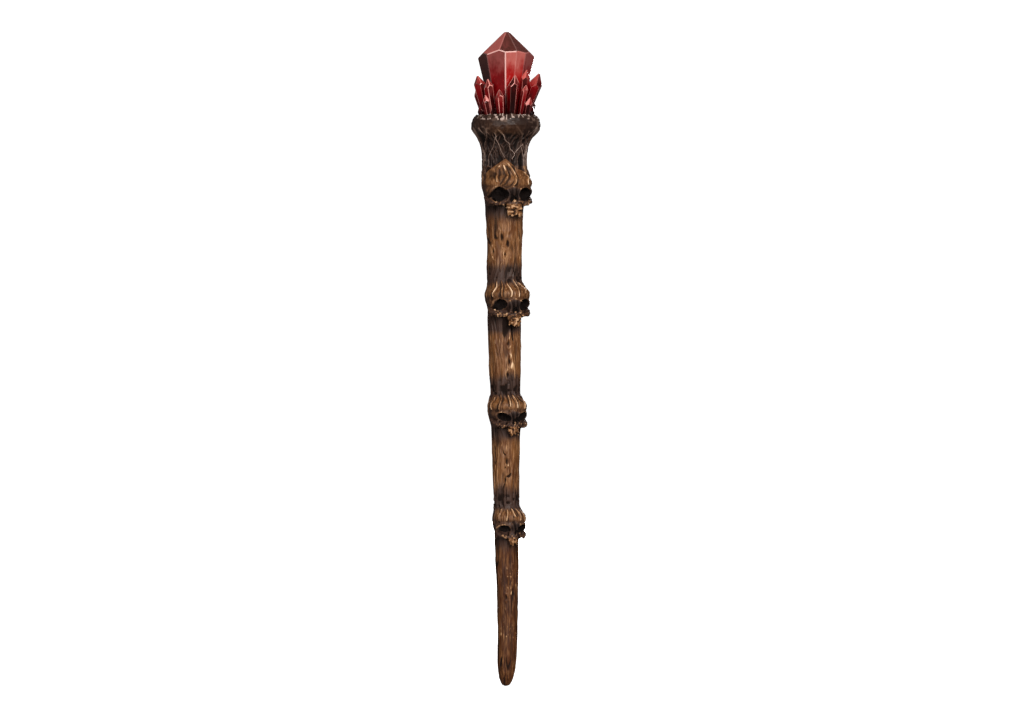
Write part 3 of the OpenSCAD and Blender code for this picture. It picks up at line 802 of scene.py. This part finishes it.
def makeSkull(skull):  # modelled at the top skull's width with the eyes at height 0, then scaled
    wide, tall, top, foot = skull["wide"], skull["tall"], skull["top"], build["foot"]
    eyeHeight, seed = skull["eyeHeight"], skull["seed"]
    rng = np.random.default_rng(seed)
    head = fuseBones(skull, rng)
    cutSockets(head, skull)

    places = readPoints(head)
    radius = np.hypot(places[:, 0], places[:, 1])
    height = places[:, 2].copy()
    realHeight = height * tall + eyeHeight
    face = np.degrees(np.arctan2(places[:, 0], -places[:, 1]))  # degrees from the face's middle
    front = face + skull["turn"]                                # degrees from the wand's front
    turn = (front + 270) / 360 % 1.0
    topSkull = skull["node"] == "skull_1"

    def noise(around, cell, extra=0):
        return patches(turn, height, around, cell, seed + extra)

    # ridges of the forehead, the sides and the back
    if topSkull:
        lines, grooves, border, forehead = foreheadLines(front, realHeight, radius)
        lines = np.maximum(lines, border * 0.35)
        atCrown = smoothStep(9.0, 10.4, height)
    else:
        lifted = [[(side, eyeHeight + up) for side, up in points] for points in skull["ridges"]]
        lines, grooves = ridgedLines(lifted, front, realHeight, radius * wide, 9.4 * wide, 0.35)
        forehead = smoothStep(10.0, 7.8, height + 0.8 * (noise(24, 9) - 0.5))
        forehead *= smoothStep(92, 72, np.abs(face))
        atCrown = smoothStep(6.5, 10.2, height)
    for number in range(build["sideRidges"]):
        middle = 92 + 176 * number / (build["sideRidges"] - 1)
        heights = np.linspace(rng.uniform(-3, 1) * tall, 10 * tall, 6) + eyeHeight
        angles = middle + rng.uniform(-5, 5, 6) + skull["turn"]
        strand = {"heights": heights, "angles": angles, "taper": 1.5, "width": 0.5}
        lines = np.maximum(lines, strandRise(front, realHeight, radius * wide, strand) * 0.7)
    lines = lines * (0.6 + 0.6 * noise(30, 2.0, 6)) - 0.5 * grooves

    # carving of the whole surface
    level, pit = woodGrain(turn, realHeight)
    grainLift = (level - 0.72) * grainDepth(realHeight)
    outside = smoothStep(5.6, 6.6, radius)
    behind = smoothStep(76, 96, np.abs(face))
    wood = np.maximum(atCrown * (1 - 0.6 * forehead), behind)
    brow = smoothStep(2.0, 3.4, height + 6 * behind)
    rims, eyes = socketMasks(skull, places)
    carve = lines * (0.46 / wide ** 0.5) * np.maximum(brow, behind) + rims * 0.2
    carve += grainLift / wide * np.maximum(wood, 0.12 * forehead)
    carve += (noise(70, 1.1, 3) - 0.5) * 0.12
    crumble = smoothStep(-1.5, -3.5, height) * smoothStep(70, 50, np.abs(face))
    swirl = noise(50, 1.1, 9) - 0.5
    nugget = patches(turn + 0.02 * swirl, height + 0.9 * swirl, 84, 0.7, seed + 8) - 0.5
    carve += crumble * (nugget * 0.6 + (noise(56, 1.0, 4) - 0.5) * 0.4)
    gravel = (noise(64, 0.8, 5) - 0.5) * 0.9 - 0.2
    normals = readPoints(head, "normal")
    places += normals * (carve * outside * (1 - eyes) + eyes * gravel)[:, None]

    # the crown and the foot take the shape of the pieces they meet
    wanted = (bareRadius(realHeight) + grainLift + shaftLumps(turn, realHeight)) / wide
    rootReach = 0 * height
    if topSkull:  # the collar's own roots come down onto the crown
        rooted, net = collarCarve(front, realHeight, radius)[:2]
        rootReach = smoothStep(3.5, 7, height) * (1 - forehead)
        places += normals * (rooted * rootReach * outside)[:, None]
        wanted = np.where(height > 0, collar["profile"][0][0] + rooted, wanted)
    wanted = wanted - 0.14 * (height > top + 0.02)
    atFoot = smoothStep(foot + 2.2, foot + 0.1, height) * smoothStep(78, 100, np.abs(face))
    match = np.maximum(smoothStep(top - 2.2, top - 0.2, height), atFoot) * outside
    settled = np.hypot(places[:, 0], places[:, 1])
    grow = 1 + match * (wanted / np.maximum(settled, 0.1) - 1)
    places[:, :2] *= grow[:, None]
    places[:, 2] = np.clip(places[:, 2], build["lowest"], top + build["lap"])
    writePoints(head, places)

    # paint
    relief = reliefOf(head, 24) * 1.9
    seam = smoothStep(top - 2.6, top - 1.2, height)
    over = level - 0.6
    crownDark = smoothStep(6.6, 10.0, height) * (1 - 0.3 * lines)
    if topSkull:
        over = net * 0.95 - 0.42 - 0.2 * (1 - net)
        seam = np.maximum(seam, rootReach)
        crownDark = rootReach * (1 - 0.4 * net)
    relief = relief * (1 - seam) + over * seam * (1 - forehead) + (lines * 0.6 - 0.05) * seam * forehead
    hollow = smoothStep(0.4, 0, relief)
    across, ahead = places[:, 0], smoothStep(-6, -8, places[:, 1])
    nose = smoothStep(1.25, 0.85, np.hypot(across / 1.6, (height + 2.1) / 1.4)) * ahead
    nose *= smoothStep(0.25, -0.2, relief)
    bridge = smoothStep(1.2, 0.5, np.hypot(across / 3.6, (height + 0.2) / 2.4)) * ahead
    teeth = smoothStep(4.0, 3.0, np.abs(across - 0.5 - skull["jaw"][0])) * ahead
    teeth *= smoothStep(-3.4, -4.6, height)
    # painted shadow under the cheek arch, beside the teeth
    underArch = smoothStep(-4.3, -5.2, height) * (1 - teeth)
    # the skull's sides away from the wand's front: partly darker paint and partly painted shade
    flankPaintAndShade = smoothStep(52, 80, np.abs(angleGap(front, 8)))
    lowFace = smoothStep(1.5, -1.0, height) * (1 - teeth)
    streaky = smoothStep(0.52, 0.85, noise(44, 3.5, 10))
    marks = 0.14 * rims + np.where(lines > 0, 0.12, 1.1) * lines * brow
    marks += (0.35 * (noise(14, 3.0, 7) - 0.5) - 0.36 * streaky) * forehead + teeth * (1.2 * nugget - 0.08)
    paintPiece(head,
               relief=relief + marks,
               washAndShade=(0.9 * crownDark + 0.55 * flankPaintAndShade + 0.5 * lowFace * (1 - rims) * hollow
                     + (0.9 * bridge + 0.5 * smoothStep(4.5, 2.5, height)) * (1 - teeth) + skull["dull"]),
               giltAndGlint=(0.72 - 0.4 * crownDark - 0.12 * teeth - 0.2 * lowFace * hollow - 0.35 * flankPaintAndShade
                     - 0.55 * bridge * (1 - teeth) - skull["dull"] + 0.2 * lines + 0.1 * rims),
               blackAndShadow=(np.maximum(eyes, 0.92 * nose) + 0.85 * underArch
                     + bridge * (0.6 * hollow + 0.3 * (1 - teeth)) + 0.7 * pit * wood),
               bone=(forehead * (1 - 0.5 * flankPaintAndShade)
                     + 0.8 * smoothStep(2, 0, height) * smoothStep(88, 70, np.abs(face))))

    # to its own size and place on the wand
    scaled = Matrix.Rotation(math.radians(skull["turn"]), 4, "Z") @ Matrix.Diagonal((wide, wide, tall, 1))
    head.data.transform(Matrix.Translation((0, 0, eyeHeight)) @ scaled)
    swell = np.maximum(smoothStep(foot, foot + 3, height), smoothStep(85, 60, np.abs(face)))
    swell *= smoothStep(top, top - 4.5, height)
    places = readPoints(head)
    places[:, 0] += axisDrift(places[:, 2]) + skull["lean"] * swell
    writePoints(head, places)
    finishPiece(head, "carved_" + skull["node"], skull["node"], skullPaint, 65)


for skull in skulls:
    makeSkull(skull)


# ---- crystals ----

# millimetres
crystal = {
    "largeBevel": 0.26,         # width of the rubbed edges
    "smallBevel": 0.16,
    "footHeight": 216.5,
    "shoulderHeight": 240,      # where the large crystal's roof starts
    # painted shade: the small crystals are darker at their feet, against the bed
    "darkFeet": (216.8, 223),   # the small crystals' feet are dark up to here
}


def makeCrystal(node, bevel, seed):
    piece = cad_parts[node].copy()
    piece.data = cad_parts[node].data.copy()
    for key in list(piece.keys()):
        del piece[key]
    piece.parent = None
    piece.hide_render = piece.hide_viewport = False
    bpy.context.collection.objects.link(piece)
    writePoints(piece, readPoints(piece) / millimetre)
    pick(piece)
    bpy.ops.object.mode_set(mode="EDIT")
    bpy.ops.mesh.select_all(action="SELECT")
    bpy.ops.mesh.remove_doubles(threshold=0.01)
    bpy.ops.mesh.dissolve_limited(angle_limit=math.radians(2))
    bpy.ops.mesh.select_all(action="SELECT")
    bpy.ops.mesh.normals_make_consistent(inside=False)
    bpy.ops.object.mode_set(mode="OBJECT")
    applyModifier(piece, "BEVEL", width=bevel, segments=1, limit_method="ANGLE", angle_limit=math.radians(12),
                  use_clamp_overlap=True)
    mesh = piece.data
    rng = np.random.default_rng(seed)
    areas = np.array([face.area for face in mesh.polygons])
    centres = np.array([face.center for face in mesh.polygons])
    normals = np.array([face.normal for face in mesh.polygons])
    large = node == "large_crystal"
    outlines = np.array([sum((mesh.vertices[a].co - mesh.vertices[b].co).length for a, b in face.edge_keys)
                         for face in mesh.polygons])
    facet = 2 * areas / outlines > 2.7 * bevel
    around = np.degrees(np.arctan2(normals[:, 0], -normals[:, 1]))
    if large:  # painted shade on the left, painted light on the front right, and a painted reflection on one pale roof face
        tone = 0.42 + 0.1 * np.sin(np.radians(around * 3 + 40))
        tone = np.where((around > -1) & (around < 43), 0.8, tone)
        tone = np.where((around > 43) & (around < 100), 0.5, tone)
        tone = np.where((around < -42) & (around > -110), 0.1, tone)
        roof = normals[:, 2] > 0.3
        tone = np.where(roof, np.where((around < -19) & (around > -100), 0.72, 0.26), tone)
        # edges that carry painted glints: the front edge and the lit edges of the roof
        lit = (np.abs(around + 1) < 9) & (normals[:, 2] < 0.3)
        lit |= (normals[:, 2] > 0.1) & (centres[:, 2] < 243.2) & (np.abs(around + 12) < 24)
        strength = np.where(lit, 0.7, 0.1)
    else:
        tone = rng.uniform(0.15, 0.62, len(areas))
        # faces near the tip get lighter tones, painted light on the upward faces; the other tones and the
        # edge glints are random
        tip = normals[:, 2] > 0.35
        tone = np.where(tip, rng.uniform(0.4, 1.35, len(areas)), tone)
        strength = np.clip(rng.uniform(-0.4, 1.2, len(areas)), 0.1, 1)
    writeAttribute(piece, "tone", tone, "FACE")
    writeAttribute(piece, "edge", np.where(facet, 0.0, strength), "FACE")
    places = readPoints(piece)
    foot, top = crystal["footHeight"], places[:, 2].max()
    rise = (places[:, 2] - foot) / (crystal["shoulderHeight"] - foot if large else max(top - 2 - foot, 2))
    if not large:
        rise *= smoothStep(*crystal["darkFeet"], places[:, 2])
    writeAttribute(piece, "rise", np.clip(rise, 0, 1.1))
    finishPiece(piece, "cut_" + node, node, crystalPaint if large else smallCrystalPaint, 12)


makeCrystal("large_crystal", crystal["largeBevel"], 900)
smallCrystals = sorted(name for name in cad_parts
                       if name.endswith(("_crystal", "_point")) and name != "large_crystal")
for number, node in enumerate(smallCrystals):
    makeCrystal(node, crystal["smallBevel"], 901 + number)


# ---- bed of grit round the crystals' feet ----

bed = {
    "profile": [(0, 215.3), (10.2, 215.3), (10.3, 216.6), (9.0, 217.3), (6.5, 217.6), (0, 217.8)],
    "chips": 190,
    "inner": 7.2,    # the chips lie between these two radii, mm
    "outer": 11.6,
    "seed": 40,
}


def makeBed():
    base = turnedPiece(bed["profile"], 180, 0.25)
    places = readPoints(base)
    turn, radius = turnOf(places), np.hypot(places[:, 0], places[:, 1])
    lift = (patches(turn, radius, 36, 0.9, 61) - 0.5) * 0.9 + (patches(turn, radius, 80, 0.5, 62) - 0.5) * 0.4
    places[:, 2] += np.where(places[:, 2] > 216.4, lift, 0)
    writePoints(base, places)
    rng = np.random.default_rng(bed["seed"])
    chips = [base]
    bpy.ops.mesh.primitive_ico_sphere_add(subdivisions=1, radius=1)
    chip = bpy.context.object
    for _ in range(bed["chips"]):
        angle = rng.uniform(0, 2 * math.pi)
        reach = rng.uniform(bed["inner"], bed["outer"])
        size = rng.uniform(0.22, 0.55)
        copy = chip.copy()
        copy.data = chip.data.copy()
        bpy.context.collection.objects.link(copy)
        spin = Matrix.Rotation(rng.uniform(0, 6), 4, Vector(rng.uniform(-1, 1, 3)))
        shape = Matrix.Diagonal((size, size * rng.uniform(0.6, 1), size * rng.uniform(0.8, 1.7), 1))
        place = (reach * math.cos(angle), reach * math.sin(angle), 217.5 + 0.3 * (reach > 10))
        copy.data.transform(Matrix.Translation(place) @ spin @ shape)
        chips.append(copy)
    bpy.data.objects.remove(chip)
    piece = joinAll(chips)
    places = readPoints(piece)
    radius = np.hypot(places[:, 0], places[:, 1])
    # the rim's grit gets rubbed gold and painted glints, strongest at the front
    inFront = smoothStep(70, 30, np.abs(frontAngle(turnOf(places))))
    paintPiece(piece,
               relief=np.where(places[:, 2] > 217.6, 0.45, 0),
               washAndShade=0.3,
               giltAndGlint=smoothStep(8.6, 10.2, radius) * (0.3 + 0.8 * inFront),
               blackAndShadow=smoothStep(9.6, 8.4, radius) * 0.85)
    finishPiece(piece, "gritty_bed", "crystal_bed", collarPaint, 30)


makeBed()


# ---- the rod inside ----

def makeRodSteel():
    paint = Paint("drawnSteel")
    lines = paint.noise((1, 1, 0.02), 3000, 3)
    return paint.finish({"Base Color": paint.blend(lines, colour(150, 150, 154), colour(190, 190, 194)),
                         "Metallic": 1.0, "Roughness": 0.28 + 0.2 * lines})


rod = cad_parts["core_rod"]
rod.data.materials.clear()
rod.data.materials.append(makeRodSteel())
print("pieces made")


# ---- floor, light and camera ----

# metres, except for the colours and strengths
studio = {"floorRadius": 3, "bend": 1.5, "wallTop": 5, "floorColour": (0.86, 0.86, 0.86, 1), "glow": 0.96,
          "air": 0.1, "aim": (0, 0, 0.13), "softbox": (0.7, 0.9)}
softboxes = {
    "keySoftbox": {"place": (0.75, -1.9, 0.95), "watts": 44, "tint": (1.0, 0.98, 0.95)},
    "fillSoftbox": {"place": (-0.85, -2.0, 0.35), "watts": 24, "tint": (1.0, 0.98, 0.96)},
    "rearSoftbox": {"place": (0.2, 2.2, 0.4), "watts": 34, "tint": (1, 1, 1)},
}
shot = {"width": 0.3937, "distance": 2.2, "centre": (0.00344, 0, 0.12366)}


def makeStudio():
    flat, bend = studio["floorRadius"], studio["bend"]
    curve = [(flat + bend * math.sin(a), bend * (1 - math.cos(a))) for a in np.linspace(0.1, math.pi / 2, 16)]
    outline = [(0, 0), (flat, 0), *curve, (flat + bend, studio["wallTop"])]
    bowl = spinOutline("studio_bowl", outline, 96, 0.0005, True)
    bpy.ops.object.shade_smooth()
    paint = Paint("studioWhite")
    bowl.data.materials.append(paint.finish({
        "Base Color": studio["floorColour"], "Roughness": 0.9, "Emission Color": (1, 1, 1, 1),
        "Emission Strength": studio["glow"], "Specular IOR Level": 0.1}))
    bowl.visible_glossy = False
    bowl.visible_diffuse = False
    world = bpy.data.worlds.new("studioAir")
    bpy.context.scene.world = world
    world.use_nodes = True
    background = world.node_tree.nodes["Background"]
    background.inputs["Color"].default_value = (1, 1, 1, 1)
    background.inputs["Strength"].default_value = studio["air"]


def addLamp(name, place, watts, tint):
    data = bpy.data.lights.new(name, "AREA")
    data.shape = "RECTANGLE"
    data.size, data.size_y = studio["softbox"]
    data.energy = watts
    data.color = tint
    lamp = bpy.data.objects.new(name, data)
    bpy.context.collection.objects.link(lamp)
    lamp.location = place
    lamp.rotation_euler = (Vector(studio["aim"]) - Vector(place)).to_track_quat("-Z", "Y").to_euler()


def makeCamera():
    data = bpy.data.cameras.new("studioCamera")
    data.sensor_fit = "HORIZONTAL"
    data.sensor_width = 36
    data.lens = 36 * shot["distance"] / shot["width"]
    data.clip_end = 50
    camera = bpy.data.objects.new("studioCamera", data)
    bpy.context.collection.objects.link(camera)
    x, y, z = shot["centre"]
    camera.location = (x, y - shot["distance"], z)
    camera.rotation_euler = (math.pi / 2, 0, 0)
    bpy.context.scene.camera = camera


makeStudio()
for name, lamp in softboxes.items():
    addLamp(name, **lamp)
makeCamera()
bpy.context.scene.view_settings.view_transform = "Standard"
print("studio made")

bpy.context.view_layer.update()
